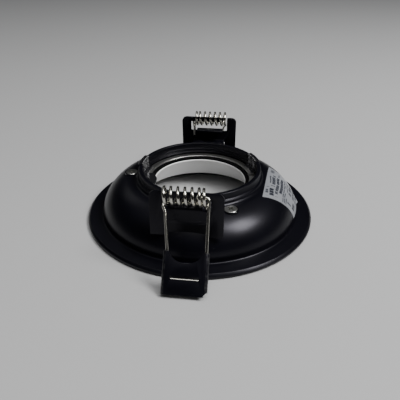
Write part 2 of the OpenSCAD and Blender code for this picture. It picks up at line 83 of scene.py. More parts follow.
# Rows of the label's bars: upper and lower edge (0 at the film's upper edge, 1 at its
# foot), start and end across, number of blocks, ink
PRINT_ROWS = (
    (0.045, 0.11, 0.05, 0.3, 18, 0.85), (0.14, 0.235, 0.05, 0.36, 15, 1.0),
    (0.09, 0.13, 0.42, 0.66, 50, 0.9), (0.155, 0.235, 0.4, 0.72, 40, 0.95),
    (0.07, 0.16, 0.8, 0.93, 36, 0.7), (0.265, 0.33, 0.08, 0.7, 46, 1.0),
    (0.27, 0.31, 0.74, 0.9, 40, 0.7), (0.36, 0.425, 0.22, 0.76, 44, 1.0),
    (0.45, 0.473, 0.04, 0.82, 7, 0.9), (0.495, 0.518, 0.04, 0.8, 6, 0.9),
    (0.54, 0.563, 0.04, 0.82, 5, 0.9), (0.59, 0.68, 0.4, 0.94, 20, 1.0),
    (0.71, 0.8, 0.4, 0.94, 18, 1.0), (0.83, 0.91, 0.4, 0.9, 16, 0.95),
    (0.59, 0.72, 0.1, 0.34, 14, 0.9), (0.76, 0.87, 0.1, 0.3, 12, 1.0))
LABEL_IN, LABEL_W, LABEL_LOW_W, LABEL_SHIFT, LABEL_ANGLE = 30.4, 30.7, 19.4, 2.3, -5.8
# Area lamps: name, place and width in metres, power in watts
LAMPS = (("key_light", (0.58, -0.15, 0.76), 0.36, 10.6),
         ("ceiling_light", (0.10, -0.25, 1.00), 0.50, 3.6),
         ("back_light", (-0.80, 0.72, 0.80), 0.40, 0.3))
ROOM_STRENGTH = 0.38
CAMERA_PLACE, CAMERA_WAY = (0.02240, -0.18170, 0.11250), (-0.105, 0.856, -0.506)
CAMERA_LENS, CAMERA_SENSOR = 39.88, 36.0


class DownlightSizes(bpy.types.PropertyGroup):
    """Sizes that the dressing adds to the frame"""

    wire: bpy.props.FloatProperty(
        name="Wire", description="Diameter of the spring wire", default=1.2 * MM,
        min=0.8 * MM, max=1.3 * MM, unit="LENGTH", precision=4)
    sheet_edge: bpy.props.FloatProperty(
        name="Sheet edge", description="Rounding of the painted sheet's cut edges",
        default=0.12 * MM, min=0.02 * MM, max=0.2 * MM, unit="LENGTH", precision=5)
    lathe_steps: bpy.props.IntProperty(
        name="Round steps", description="Steps round a turned piece", default=256, min=64, max=512)


class DownlightColours(bpy.types.PropertyGroup):
    """Colours of the finishes"""

    paint: bpy.props.FloatVectorProperty(
        name="Black paint", description="Colour of the black paint", subtype="COLOR",
        size=3, default=(0.0020, 0.0020, 0.0036), min=0, max=1)
    reflector: bpy.props.FloatVectorProperty(
        name="Reflector", description="Colour of the white reflector", subtype="COLOR",
        size=3, default=(0.90, 0.90, 0.89), min=0, max=1)
    wire: bpy.props.FloatVectorProperty(
        name="Wire", description="Colour of the bright wire", subtype="COLOR",
        size=3, default=(0.58, 0.565, 0.51), min=0, max=1)
    table: bpy.props.FloatVectorProperty(
        name="Table", description="Colour of the floor", subtype="COLOR",
        size=3, default=(0.46, 0.46, 0.46), min=0, max=1)


# ---- meshes --------------------------------------------------------------


def rounded(corners, step=15.0):
    """A closed outline in which each corner (x, y, radius) is rounded off."""
    outline = []
    for i, (x, y, radius) in enumerate(corners):
        here = Vector((x, y))
        if radius <= 0:
            outline.append(here)
            continue
        back = Vector(corners[i - 1][:2]) - here
        ahead = Vector(corners[(i + 1) % len(corners)][:2]) - here
        half = back.angle(ahead) / 2
        reach = min(radius / math.tan(half), back.length * 0.49, ahead.length * 0.49)
        middle = (back.normalized() + ahead.normalized()).normalized()
        centre = here + middle * (reach / math.cos(half))
        start = here + back.normalized() * reach - centre
        turn = -start.angle_signed(here + ahead.normalized() * reach - centre)
        steps = max(2, round(abs(math.degrees(turn)) / step))
        for k in range(steps + 1):
            outline.append(centre + Matrix.Rotation(turn * k / steps, 2) @ start)
    return outline


def arc(cx, cy, radius, start, end, steps=8):
    """Points of an arc about (cx, cy), with angles in degrees, as corners that stay sharp."""
    return [(cx + radius * math.cos(math.radians(start + (end - start) * k / steps)),
             cy + radius * math.sin(math.radians(start + (end - start) * k / steps)), 0)
            for k in range(steps + 1)]


def turned(outline, steps, angle=360.0):
    """A solid turned from a closed outline of (r, z) points, open-ended if under a full turn."""
    whole = angle >= 360.0
    rows = steps if whole else steps + 1
    verts, faces, n = [], [], len(outline)
    for k in range(rows):
        a = math.radians(angle * k / steps)
        verts += [(p[0] * math.cos(a), p[0] * math.sin(a), p[1]) for p in outline]
    for k in range(steps):
        low, high = k * n, (k + 1) % rows * n
        for i in range(n):
            j = (i + 1) % n
            faces.append((low + i, high + i, high + j, low + j))
    if not whole:
        faces.append(tuple(range(n)))
        faces.append(tuple(reversed(range(steps * n, (steps + 1) * n))))
    return verts, faces


def pushed(outline, low, high, axis="Z"):
    """A solid pushed from a closed outline, between two heights along an axis."""
    n = len(outline)
    verts = [(p[0], p[1], z) for z in (low, high) for p in outline]
    faces = [tuple(reversed(range(n))), tuple(range(n, 2 * n))]
    faces += [(i, (i + 1) % n, n + (i + 1) % n, n + i) for i in range(n)]
    if axis == "X":
        verts = [(z, x, y) for x, y, z in verts]
    if axis == "Y":
        verts = [(x, -z, y) for x, y, z in verts]
    return verts, faces


def drawn(path, radius, sides=16, across=None):
    """A round wire along a path of points, with slightly rounded ends."""
    end_round, end_radius = 0.12, radius * 0.72
    path = [Vector(p) for p in path]
    ways = [(path[min(i + 1, len(path) - 1)] - path[max(i - 1, 0)]).normalized()
            for i in range(len(path))]
    normal = (across or ways[0].orthogonal()).normalized()
    rings = [(path[0], ways[0], end_radius), (path[0] + ways[0] * end_round, ways[0], radius)]
    rings += [(p, w, radius) for p, w in zip(path[1:-1], ways[1:-1])]
    rings += [(path[-1] - ways[-1] * end_round, ways[-1], radius), (path[-1], ways[-1], end_radius)]
    verts, faces = [], []
    for centre, way, r in rings:
        normal = (normal - way * normal.dot(way)).normalized()
        other = way.cross(normal)
        for k in range(sides):
            a = 2 * math.pi * k / sides
            verts.append(centre + (normal * math.cos(a) + other * math.sin(a)) * r)
    for i in range(len(rings) - 1):
        for k in range(sides):
            j = (k + 1) % sides
            faces.append((i * sides + k, i * sides + j, (i + 1) * sides + j, (i + 1) * sides + k))
    faces.append(tuple(reversed(range(sides))))
    faces.append(tuple(range((len(rings) - 1) * sides, len(rings) * sides)))
    return verts, faces


def curved_path(corners, step=10.0):
    """Points along straight lines joined by round bends; corners are (x, y, z, radius)."""
    path = [Vector(corners[0][:3])]
    for i in range(1, len(corners) - 1):
        here = Vector(corners[i][:3])
        back = (Vector(corners[i - 1][:3]) - here).normalized()
        ahead = (Vector(corners[i + 1][:3]) - here).normalized()
        half = back.angle(ahead) / 2
        reach = corners[i][3] / math.tan(half)
        centre = here + (back + ahead).normalized() * (corners[i][3] / math.sin(half))
        start, end = here + back * reach - centre, here + ahead * reach - centre
        spin = start.cross(end).normalized()
        turn = start.angle(end)
        steps = max(3, round(math.degrees(turn) / step))
        path += [centre + Matrix.Rotation(turn * k / steps, 3, spin) @ start
                 for k in range(steps + 1)]
    path.append(Vector(corners[-1][:3]))
    return path


def make(name, solid, place=None):
    """A Blender object from a solid in millimetres, moved to its place."""
    mesh = bpy.data.meshes.new(name)
    mesh.from_pydata([Vector(v) for v in solid[0]], [], solid[1])
    mesh.transform(Matrix.Scale(MM, 4) @ (place or Matrix.Identity(4)))
    bm = bmesh.new()
    bm.from_mesh(mesh)
    bmesh.ops.remove_doubles(bm, verts=bm.verts, dist=1e-7)
    bmesh.ops.recalc_face_normals(bm, faces=bm.faces)
    bm.to_mesh(mesh)
    bm.free()
    piece = bpy.data.objects.new(name, mesh)
    bpy.context.scene.collection.objects.link(piece)
    return piece


def settle(piece):
    """Applies a piece's modifiers to its mesh."""
    shown = piece.evaluated_get(bpy.context.evaluated_depsgraph_get())
    mesh, old = bpy.data.meshes.new_from_object(shown), piece.data
    piece.modifiers.clear()
    piece.data = mesh
    bpy.data.meshes.remove(old)
    mesh.name = piece.name


def combine(piece, tools, operation="DIFFERENCE"):
    """Cuts the tools from a piece, or joins them to it."""
    for tool in tools:
        change = piece.modifiers.new("combine", "BOOLEAN")
        change.operation, change.solver, change.object = operation, "EXACT", tool
    settle(piece)
    for tool in tools:
        bpy.data.objects.remove(tool)


def soften(piece, width, segments=2, limit=40.0):
    """Rounds the sharp edges of a piece."""
    edge = piece.modifiers.new("soften", "BEVEL")
    edge.width, edge.segments, edge.limit_method = width, segments, "ANGLE"
    edge.angle_limit, edge.harden_normals, edge.use_clamp_overlap = math.radians(limit), False, True
    settle(piece)


def mark_edges(piece, angle=20.0, broad=0.3 * MM):
    """Stores how convex each vertex is, for the wear and the painted glints on edges, and 0 beside a broad
    face.
    """
    bm = bmesh.new()
    bm.from_mesh(piece.data)
    values = []
    for v in bm.verts:
        turns = [e.calc_face_angle_signed(0) for e in v.link_edges if len(e.link_faces) == 2]
        narrow = all(f.calc_area() < broad * max(e.calc_length() for e in f.edges)
                     for f in v.link_faces)
        values.append(min(1.0, max(turns, default=0) / math.radians(angle)) if narrow else 0.0)
    bm.free()
    wear_and_glint = piece.data.attributes.new("convex_edge", "FLOAT", "POINT")
    wear_and_glint.data.foreach_set("value", [max(0.0, v) for v in values])


def dress(piece, material, body="root", nodes=(), crease=35.0):
    """Smooths a piece, gives it its material, and hangs it on its body in place of its CAD nodes."""
    piece.data.polygons.foreach_set("use_smooth", [True] * len(piece.data.polygons))
    piece.data.set_sharp_from_angle(angle=math.radians(crease))
    mark_edges(piece)
    if not piece.data.materials:
        piece.data.materials.append(material)
    if body:
        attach(piece, body)
    if nodes:
        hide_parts(*nodes)
    return piece


def box_solid(low, high):
    """A rectangular solid between two corners."""
    ground = [(low[0], low[1]), (high[0], low[1]), (high[0], high[1]), (low[0], high[1])]
    return pushed(ground, low[2], high[2])


def round_bar(radius, low, high, steps=64, top=None):
    """A round bar, or a cone if it has another radius at its top."""
    top = radius if top is None else top
    verts = [(r * math.cos(2 * math.pi * k / steps), r * math.sin(2 * math.pi * k / steps), z)
             for r, z in ((radius, low), (top, high)) for k in range(steps)]
    faces = [tuple(reversed(range(steps))), tuple(range(steps, 2 * steps))]
    faces += [(k, (k + 1) % steps, steps + (k + 1) % steps, steps + k) for k in range(steps)]
    return verts, faces


def spin(angle):
    return Matrix.Rotation(math.radians(angle), 4, "Z")


def at_screw(angle):
    return spin(angle) @ Matrix.Translation((SCREW_RING, 0, 0))


def in_plate(side):
    """Frame of a bracket: y is 0 on its outer face and z is 0 on its top edge."""
    return (SIDES[side] @ Matrix.Translation((0, -PLATE_Y, PLATE_TOP))
            @ Matrix.Rotation(math.radians(-PLATE_LEAN), 4, "X"))


def in_hinge(side):
    return SIDES[side] @ Matrix.Translation((0, -HINGE_Y, HINGE_Z))


def in_flap(side):
    """Frame of a flap: x lies on the hinge, -y runs down the flap and z is its outer normal."""
    return in_hinge(side) @ Matrix.Rotation(math.radians(FLAP_ANGLE), 4, "X")


def coil_foot(offset):
    """A point measured from the coil's foot [x, outward, up], in the hinge's frame."""
    return Vector((COIL_X0 + offset[0], -offset[1], offset[2] - COIL_R))


def bail_top(lead):
    """Where the coil's wire becomes the bail: past its last bend, in the hinge's frame."""
    angle, reach = math.radians(FLAP_ANGLE), FLAP_START - ENTRY_GAP
    entry = Vector((ROLL_A_X, -reach * math.cos(angle), -reach * math.sin(angle)))
    last = coil_foot(LEAD[0])
    return last + (entry - last).normalized() * lead


def to_flap(point):
    """A point of the hinge's frame in the frame of a flap."""
    return Matrix.Rotation(math.radians(-FLAP_ANGLE), 3, "X") @ Vector(point)


def bezier_run(points, end_way, step=8):
    """A smooth run through points (Catmull-Rom), leaving the last one along a direction."""
    points = [Vector(p) for p in points]
    tail = points[-1] + Vector(end_way).normalized() * (points[-1] - points[-2]).length
    chain = [2 * points[0] - points[1]] + points + [tail]
    run = []
    for i in range(1, len(chain) - 2):
        before, here, ahead, after = chain[i - 1:i + 3]
        for k in range(step):
            t = k / step
            run.append(0.5 * (2 * here + (ahead - before) * t
                              + (2 * before - 5 * here + 4 * ahead - after) * t ** 2
                              + (3 * here - before - 3 * ahead + after) * t ** 3))
    return run + [points[-1]]


def dome_point(angle, out=0.0):
    """A point (r, z) on the dome's curve, from the foot at 0 to the crown at 90 degrees."""
    a = math.radians(angle)
    return (CROWN_R + (DOME_R - CROWN_R + out) * abs(math.cos(a)) ** (2 / DOME_FULL),
            FOOT_Z + (DOME_Z - FOOT_Z + out) * abs(math.sin(a)) ** (2 / DOME_FULL))


def inner_point(angle):
    a = math.radians(angle)
    return (CROWN_R + (DOME_R - CROWN_R - WALL_T) * abs(math.cos(a)) ** (2 / DOME_FULL),
            FOOT_Z + (LEDGE_Z - FOOT_Z) * abs(math.sin(a)) ** (2 / DOME_FULL))


# ---- finishes ------------------------------------------------------------


def add(tree, kind, place=(0, 0), **values):
    """Adds a shader node and sets its properties and its inputs."""
    node = tree.nodes.new(kind)
    node.location = place
    for key, value in values.items():
        if hasattr(node, key):
            setattr(node, key, value)
        else:
            node.inputs[key.replace("_", " ")].default_value = value
    return node


def maths(tree, operation, a, b=None, clamp=False):
    """A Math node fed by numbers or sockets."""
    node = add(tree, "ShaderNodeMath", operation=operation, use_clamp=clamp)
    for socket, value in zip(node.inputs, (a, b)):
        if isinstance(value, (int, float)):
            socket.default_value = value
        elif value is not None:
            tree.links.new(value, socket)
    return node.outputs[0]


def blend_colour(tree, factor, first, second):
    node = add(tree, "ShaderNodeMix", data_type="RGBA")
    for socket, value in ((node.inputs[0], factor), (node.inputs[6], first), (node.inputs[7], second)):
        if isinstance(value, bpy.types.NodeSocket):
            tree.links.new(value, socket)
        else:
            socket.default_value = value
    return node.outputs[2]


def ramp(tree, value, low, high):
    """A value spread from 0 at low to 1 at high."""
    node = add(tree, "ShaderNodeMapRange", From_Min=low, From_Max=high)
    tree.links.new(value, node.inputs["Value"])
    return node.outputs["Result"]


def noise(tree, vector, scale, detail=3.0, roughness=0.55):
    node = add(tree, "ShaderNodeTexNoise", Scale=scale, Detail=detail, Roughness=roughness)
    tree.links.new(vector, node.inputs["Vector"])
    return node.outputs["Fac"]


def new_group(name, inputs, outputs):
    """A node group with named inputs (name, kind, default) and outputs (name, kind)."""
    group = bpy.data.node_groups.new(name, "ShaderNodeTree")
    for label, kind, value in inputs:
        socket = group.interface.new_socket(label, in_out="INPUT", socket_type="NodeSocket" + kind)
        socket.default_value = value
    for label, kind in outputs:
        group.interface.new_socket(label, in_out="OUTPUT", socket_type="NodeSocket" + kind)
    return group, add(group, "NodeGroupInput"), add(group, "NodeGroupOutput")


def paint_grain():
    """Cloudy tint, rough patches and the fine texture of a sprayed or rolled surface."""
    group, given, out = new_group("Surface Grain", [
        ("Colour", "Color", (0.5, 0.5, 0.5, 1)), ("Cloud Colour", "Color", (0.4, 0.4, 0.4, 1)),
        ("Cloud", "Float", 0.3), ("Roughness", "Float", 0.4), ("Spread", "Float", 0.1),
        ("Grain Scale", "Float", 3000.0)],
        [("Colour", "Color"), ("Roughness", "Float"), ("Height", "Float")])
    where = add(group, "ShaderNodeTexCoord").outputs["Object"]
    clouds = ramp(group, noise(group, where, 90.0, 4.0), 0.38, 0.66)
    factor = maths(group, "MULTIPLY", clouds, given.outputs["Cloud"])
    tint = blend_colour(group, factor, given.outputs["Colour"], given.outputs["Cloud Colour"])
    group.links.new(tint, out.inputs["Colour"])
    patches = maths(group, "SUBTRACT", noise(group, where, 420.0, 5.0, 0.65), 0.5)
    rough = maths(group, "ADD", given.outputs["Roughness"],
                  maths(group, "MULTIPLY", patches, given.outputs["Spread"]), clamp=True)
    group.links.new(rough, out.inputs["Roughness"])
    fine = add(group, "ShaderNodeTexNoise", Detail=2.0, Roughness=0.6)
    group.links.new(where, fine.inputs["Vector"])
    group.links.new(given.outputs["Grain Scale"], fine.inputs["Scale"])
    group.links.new(fine.outputs["Fac"], out.inputs["Height"])
    return group


def edge_wear_and_glint():
    """A mask that is bright where a convex edge is rubbed bare and where an edge gets a painted glint."""
    group, given, out = new_group("Edge Wear And Glint", [("Amount", "Float", 0.5), ("Reach", "Float", 0.5)],
                                  [("Mask", "Float")])
    edge = add(group, "ShaderNodeAttribute", attribute_name="convex_edge").outputs["Fac"]
    where = add(group, "ShaderNodeTexCoord").outputs["Object"]
    broken = ramp(group, noise(group, where, 900.0, 5.0, 0.7), 0.42, 0.62)
    kept = maths(group, "MULTIPLY", ramp(group, edge, 0.3, 1.0), given.outputs["Reach"])
    mask = maths(group, "MULTIPLY", maths(group, "MULTIPLY", kept, broken),
                 given.outputs["Amount"], clamp=True)
    group.links.new(mask, out.inputs["Mask"])
    return group


def dust_specks():
    """A mask of small, sparse specks of dust."""
    group, given, out = new_group("Dust Specks", [("Scale", "Float", 700.0), ("Amount", "Float", 0.5)],
                                  [("Mask", "Float")])
    cells = add(group, "ShaderNodeTexVoronoi", Randomness=1.0)
    where = add(group, "ShaderNodeTexCoord").outputs["Object"]
    group.links.new(where, cells.inputs["Vector"])
    group.links.new(given.outputs["Scale"], cells.inputs["Scale"])
    parts = add(group, "ShaderNodeSeparateColor")
    group.links.new(cells.outputs["Color"], parts.inputs[0])
    size = maths(group, "MULTIPLY", ramp(group, parts.outputs[0], 0.86, 1.0), 0.16)
    near = maths(group, "LESS_THAN", cells.outputs["Distance"], size)
    group.links.new(maths(group, "MULTIPLY", near, given.outputs["Amount"]), out.inputs["Mask"])
    return group


def finish_material(name, metallic=0.0, **sockets):
    """A material with only its Principled BSDF, ready for its groups."""
    material = bpy.data.materials.new(name)
    material.use_nodes = True
    tree = material.node_tree
    shader = tree.nodes["Principled BSDF"]
    shader.inputs["Metallic"].default_value = metallic
    for key, value in sockets.items():
        shader.inputs[key.replace("_", " ")].default_value = value
    return material, tree, shader


def use_group(tree, group, **values):
    node = add(tree, "ShaderNodeGroup")
    node.node_tree = group
    for key, value in values.items():
        node.inputs[key.replace("_", " ")].default_value = value
    return node


def bump(tree, shader, height, strength, distance):
    node = add(tree, "ShaderNodeBump", Strength=strength, Distance=distance)
    tree.links.new(height, node.inputs["Height"])
    tree.links.new(node.outputs["Normal"], shader.inputs["Normal"])
    return node


def lay_grain(tree, shader, **values):
    """Feeds a shader's colour and roughness straight from the surface grain."""
    grained = use_group(tree, bpy.data.node_groups["Surface Grain"], **values)
    tree.links.new(grained.outputs["Colour"], shader.inputs["Base Color"])
    tree.links.new(grained.outputs["Roughness"], shader.inputs["Roughness"])
    return grained


def rgba(colour, gain=1.0):
    return tuple(min(1.0, c * gain) for c in colour[:3]) + (1.0,)


def black_paint(name, colour, shine, roughness, spread, grain, strength, wear, dust, bare_and_glint=0.07):
    """Satin black paint, rubbed bright at its edges and a little dusty. Where the edge colour is pale, as on
    the clips, it is bare steel and also a painted highlight.
    """
    material, tree, shader = finish_material(name, Specular_IOR_Level=shine,
                                             Specular_Tint=(0.92, 0.90, 1.0, 1))
    grained = use_group(tree, bpy.data.node_groups["Surface Grain"], Colour=rgba(colour),
                        Cloud_Colour=rgba(colour, 1.5), Cloud=0.5, Roughness=roughness,
                        Spread=spread, Grain_Scale=grain)
    wear_and_glint = use_group(tree, bpy.data.node_groups["Edge Wear And Glint"], Amount=wear, Reach=1.0)
    specks = use_group(tree, bpy.data.node_groups["Dust Specks"], Scale=650.0, Amount=dust)
    paint = blend_colour(tree, wear_and_glint.outputs["Mask"], grained.outputs["Colour"], (bare_and_glint, bare_and_glint, bare_and_glint, 1))
    paint = blend_colour(tree, specks.outputs["Mask"], paint, (0.06, 0.06, 0.06, 1))
    tree.links.new(paint, shader.inputs["Base Color"])
    tree.links.new(maths(tree, "ADD", grained.outputs["Roughness"],
                         maths(tree, "MULTIPLY", specks.outputs["Mask"], 0.3), clamp=True),
                   shader.inputs["Roughness"])
    bump(tree, shader, grained.outputs["Height"], strength, 0.0001)
    return material


def metal(name, colour, roughness, spread=0.12, grain=2500.0, strength=0.08, cloud=0.35, lines=None):
    """Bare metal with tarnish, and fine lines where it was drawn or turned."""
    material, tree, shader = finish_material(name, metallic=1.0)
    grained = lay_grain(tree, shader, Colour=rgba(colour), Cloud_Colour=rgba(colour, 0.72),
                        Cloud=cloud, Roughness=roughness, Spread=spread, Grain_Scale=grain)
    height = grained.outputs["Height"]
    if lines:
        where = add(tree, "ShaderNodeTexCoord").outputs["Object"]
        radius = add(tree, "ShaderNodeVectorMath", operation="LENGTH")
        flat = add(tree, "ShaderNodeVectorMath", operation="MULTIPLY")
        flat.inputs[1].default_value = (1, 1, 0)
        tree.links.new(where, flat.inputs[0])
        tree.links.new(flat.outputs[0], radius.inputs[0])
        rings = add(tree, "ShaderNodeTexNoise", noise_dimensions="1D", Scale=lines, Detail=3.0)
        tree.links.new(radius.outputs["Value"], rings.inputs["W"])
        height = maths(tree, "ADD", height, maths(tree, "MULTIPLY", rings.outputs["Fac"], 2.0))
    bump(tree, shader, height, strength, 0.0001)
    return material


def print_row():
    """A mask of one row of plain bars, broken into blocks, between two depths and two ends."""
    group, given, out = new_group("Print Row", [
        ("Across", "Float", 0.0), ("Down", "Float", 0.0), ("Upper", "Float", 0.1), ("Lower", "Float", 0.2),
        ("Start", "Float", 0.1), ("End", "Float", 0.9), ("Blocks", "Float", 20.0), ("Ink", "Float", 0.8)],
        [("Mask", "Float")])
    across, down = given.outputs["Across"], given.outputs["Down"]
    mask = given.outputs["Ink"]
    for operation, value, edge in (("GREATER_THAN", down, "Upper"), ("LESS_THAN", down, "Lower"),
                                   ("GREATER_THAN", across, "Start"), ("LESS_THAN", across, "End")):
        mask = maths(group, "MULTIPLY", mask, maths(group, operation, value, given.outputs[edge]))
    place = add(group, "ShaderNodeCombineXYZ")
    blocks = maths(group, "MULTIPLY", across, given.outputs["Blocks"])
    group.links.new(maths(group, "FLOOR", blocks), place.inputs[0])
    group.links.new(given.outputs["Upper"], place.inputs[1])
    cell = add(group, "ShaderNodeTexWhiteNoise", noise_dimensions="2D")
    group.links.new(place.outputs[0], cell.inputs["Vector"])
    inked = maths(group, "MULTIPLY", maths(group, "GREATER_THAN", cell.outputs["Value"], 0.08),
                  maths(group, "GREATER_THAN", maths(group, "FRACT", blocks), 0.14))
    group.links.new(maths(group, "MULTIPLY", mask, inked), out.inputs["Mask"])
    return group


def printed_label():
    """Silver-grey film with rows of plain bars and blocks, in place of its print."""
    material, tree, shader = finish_material("label_print", Specular_IOR_Level=0.4)
    grained = use_group(tree, bpy.data.node_groups["Surface Grain"], Colour=(0.205, 0.212, 0.228, 1),
                        Cloud_Colour=(0.270, 0.280, 0.298, 1), Cloud=0.6, Roughness=0.40,
                        Spread=0.15, Grain_Scale=1400.0)
    uv = add(tree, "ShaderNodeUVMap", uv_map="print").outputs["UV"]
    parts = add(tree, "ShaderNodeSeparateXYZ")
    tree.links.new(uv, parts.inputs[0])
    ink = None
    for upper, lower, start, end, blocks, strength in PRINT_ROWS:
        row = use_group(tree, bpy.data.node_groups["Print Row"], Upper=upper, Lower=lower,
                        Start=start, End=end, Blocks=blocks, Ink=strength)
        tree.links.new(parts.outputs["X"], row.inputs["Across"])
        tree.links.new(parts.outputs["Y"], row.inputs["Down"])
        ink = row.outputs["Mask"] if ink is None else maths(tree, "MAXIMUM", ink, row.outputs["Mask"])
    colour = blend_colour(tree, ink, grained.outputs["Colour"], (0.012, 0.014, 0.022, 1))
    tree.links.new(colour, shader.inputs["Base Color"])
    tree.links.new(grained.outputs["Roughness"], shader.inputs["Roughness"])
    bump(tree, shader, grained.outputs["Height"], 0.12, 0.0002)
    return material


def white_paint(colour):
    """Satin white paint for the reflector."""
    material, tree, shader = finish_material("reflector_white", Specular_IOR_Level=0.5)
    grained = lay_grain(tree, shader, Colour=rgba(colour), Cloud_Colour=rgba(colour, 0.96),
                        Cloud=0.4, Roughness=0.38, Spread=0.1, Grain_Scale=1800.0)
    bump(tree, shader, grained.outputs["Height"], 0.12, 0.0001)
    return material


def table_top(colour):
    """Matt pale table top, barely clouded."""
    material, tree, shader = finish_material("table_top", Specular_IOR_Level=0.25)
    lay_grain(tree, shader, Colour=rgba(colour), Cloud_Colour=rgba(colour, 0.985),
              Cloud=0.3, Roughness=0.6, Spread=0.05, Grain_Scale=400.0)
    return material


def finish(name):
    return bpy.data.materials[name]


# ---- pieces --------------------------------------------------------------


class DOWNLIGHT_OT_finishes(bpy.types.Operator):
    """Makes the finishes and the groups that they share"""

    bl_idname = "downlight.finishes"
    bl_label = "Make Finishes"

    def execute(self, context):
        colours = context.scene.downlight_colours
        for build in (paint_grain, edge_wear_and_glint, dust_specks, print_row):
            build()
        black = colours.paint
        black_paint("housing_paint", black, 0.22, 0.30, 0.03, 5200.0, 0.05, 0.2, 0.2)
        black_paint("sheet_paint", black, 0.22, 0.32, 0.03, 5200.0, 0.03, 0.35, 0.15)
        # Clip edges: pale bare steel, made paler still as a painted highlight for the glints along them
        black_paint("clip_oxide", (0.008, 0.008, 0.009), 1.0, 0.20, 0.08, 3000.0, 0.05, 1.0, 0.1,
                    bare_and_glint=0.28)
        # Near-black, almost unreflective finish for the seat ring, which fills the dark band between the
        # lamp ring and the reflector's lip
        black_paint("seat_black", (0.002, 0.002, 0.002), 0.05, 0.7, 0.1, 1200.0, 0.2, 0.0, 0.1)
        metal("wire_bright", colours.wire, 0.16, 0.1, 6000.0, 0.05, 0.5)
        metal("ring_steel", (0.76, 0.75, 0.72), 0.32, 0.06, 4500.0, 0.03, 0.25, lines=9000.0)
        metal("screw_zinc", (0.50, 0.50, 0.47), 0.30, 0.15, 2600.0, 0.15, 0.4)
        white_paint(colours.reflector)
        printed_label()
        return {"FINISHED"}


class DOWNLIGHT_OT_housing(bpy.types.Operator):
    """Builds the flange, dome and collar as one turned casting with its seats and pads"""

    bl_idname = "downlight.housing"
    bl_label = "Build Housing"

    def execute(self, context):
        steps = context.scene.downlight_sizes.lathe_steps
        outline = rounded(
            [(APERTURE_R + 1.0, 0, 0.25), (FLANGE_R - 0.8, 0, 0.5), (FLANGE_R, 0.8, 0.5),
             (FLANGE_R, FLANGE_T - 0.9, 0.35), (FLANGE_R - 0.9, FLANGE_T, 0.35),
             (DOME_R, FLANGE_T, 0.8)]
            + [(*dome_point(90 * (i / 40) ** 1.15), 0) for i in range(41)]
            + arc(COLLAR_R + 2.4, DOME_Z + 1.6, 1.6, 270, 180, 8)
            + [(COLLAR_R, DOME_Z + 2.1, 0.3), (COLLAR_R, COLLAR_Z, 0.3), (BORE_R, COLLAR_Z, 0.25),
               *self.shallow_groove(21.35), *self.shallow_groove(19.7),
               (BORE_R, GROOVE_Z, 0.1), (BORE_R + 0.4, GROOVE_Z, 0.1), (BORE_R + 0.4, LEDGE_Z, 0)]
            + [(*inner_point(90 - 90 * i / 24), 0) for i in range(25)]
            + [(DOME_R - WALL_T, FLANGE_T, 0.3), (APERTURE_R + 2.2, FLANGE_T, 0.3),
               (APERTURE_R + 2.2, SEAT_Z, 0.2), (APERTURE_R, SEAT_Z, 0.2), (APERTURE_R, 1.0, 0.25)])
        shell = make("housing_shell", turned(outline, steps))
        pads = []
        for side in SIDES:
            half, out, back = 8.5, 40.2, 29.9
            ground = rounded([(-half, -out, 1.0), (half, -out, 1.0), (half, -back, 1.5),
                              (-half, -back, 1.5)])
            pads.append(make("pad", pushed(ground, 13.0, DOME_Z), SIDES[side]))
        for angle in SCREW_ANGLES:
            pads.append(make("pad", round_bar(3.45, 12.0, DOME_Z, top=3.3), at_screw(angle)))
        combine(shell, pads, "UNION")
        inside = [inner_point(90 * i / 24) for i in range(25)]
        tools = [make("cavity", turned([(inside[0][0], FLANGE_T + 0.1)] + inside
                                       + [(26.6, LEDGE_Z), (26.6, 5.2), (38.3, 5.2), (38.3, FLANGE_T + 0.1)],
                                       steps))]
        for angle in SCREW_ANGLES:
            shank, head = 1.45, 3.0
            sink = round_bar(shank, DOME_Z - shank, DOME_Z + 0.1, top=head)
            tools.append(make("sink", sink, at_screw(angle)))
            tools.append(make("hole", round_bar(shank, 10, DOME_Z - 0.5), at_screw(angle)))
        for angle in CLIP_ANGLES:
            near, far, over, slack = 25.0, 26.65, 24.5, 0.3
            slot = turned([(near, TONGUE_Z), (far, TONGUE_Z), (far, over), (near, over)],
                          12, CLIP_ARC + 2 * slack)
            tools.append(make("recess", slot, spin(angle - CLIP_ARC / 2 - slack)))
        combine(shell, tools)
        dress(shell, finish("housing_paint"), "root", ["housing"])
        return {"FINISHED"}

    def shallow_groove(self, top):
        """Corners of a shallow groove in the collar's bore, from its upper edge down."""
        deep, edge = BORE_R + 0.22, 0.05
        return [(BORE_R, top, edge), (deep, top - 0.15, edge), (deep, top - 0.6, edge),
                (BORE_R, top - 0.75, edge)]


class DOWNLIGHT_OT_reflector(bpy.types.Operator):
    """Builds the white cone with its flange, its rolled lip and its bosses"""

    bl_idname = "downlight.reflector"
    bl_label = "Build Reflector"

    def execute(self, context):
        steps = context.scene.downlight_sizes.lathe_steps
        mouth_r, flange_r, wall, boss_r, thread_r = 28.9, 40.6, 1.2, 2.6, 1.43
        low, high, lip_z = SEAT_Z, SEAT_Z + wall, SEAT_RING_Z
        outline = rounded(
            [(THROAT_R, 16.1, 0.3), (mouth_r, low, 0.6), (flange_r, low, 0.2), (flange_r, high, 0.3),
             (29.86, high, 0.5), (22.34, lip_z - wall, 0.4), (RING_OUT_R, lip_z - wall, 0.2),
             (RING_OUT_R, lip_z, 0.2), (THROAT_R + 0.25, lip_z, 0.2), (THROAT_R, 16.3, 0.1)])
        cone = make("reflector_cone", turned(outline, steps))
        bosses = [make("boss", round_bar(boss_r, 5.4, LEDGE_Z - 0.02), at_screw(a))
                  for a in SCREW_ANGLES]
        combine(cone, bosses, "UNION")
        combine(cone, [make("bore", round_bar(thread_r, 8.7, 17.5), at_screw(a))
                       for a in SCREW_ANGLES])
        dress(cone, finish("reflector_white"), "root", ["reflector"])
        return {"FINISHED"}


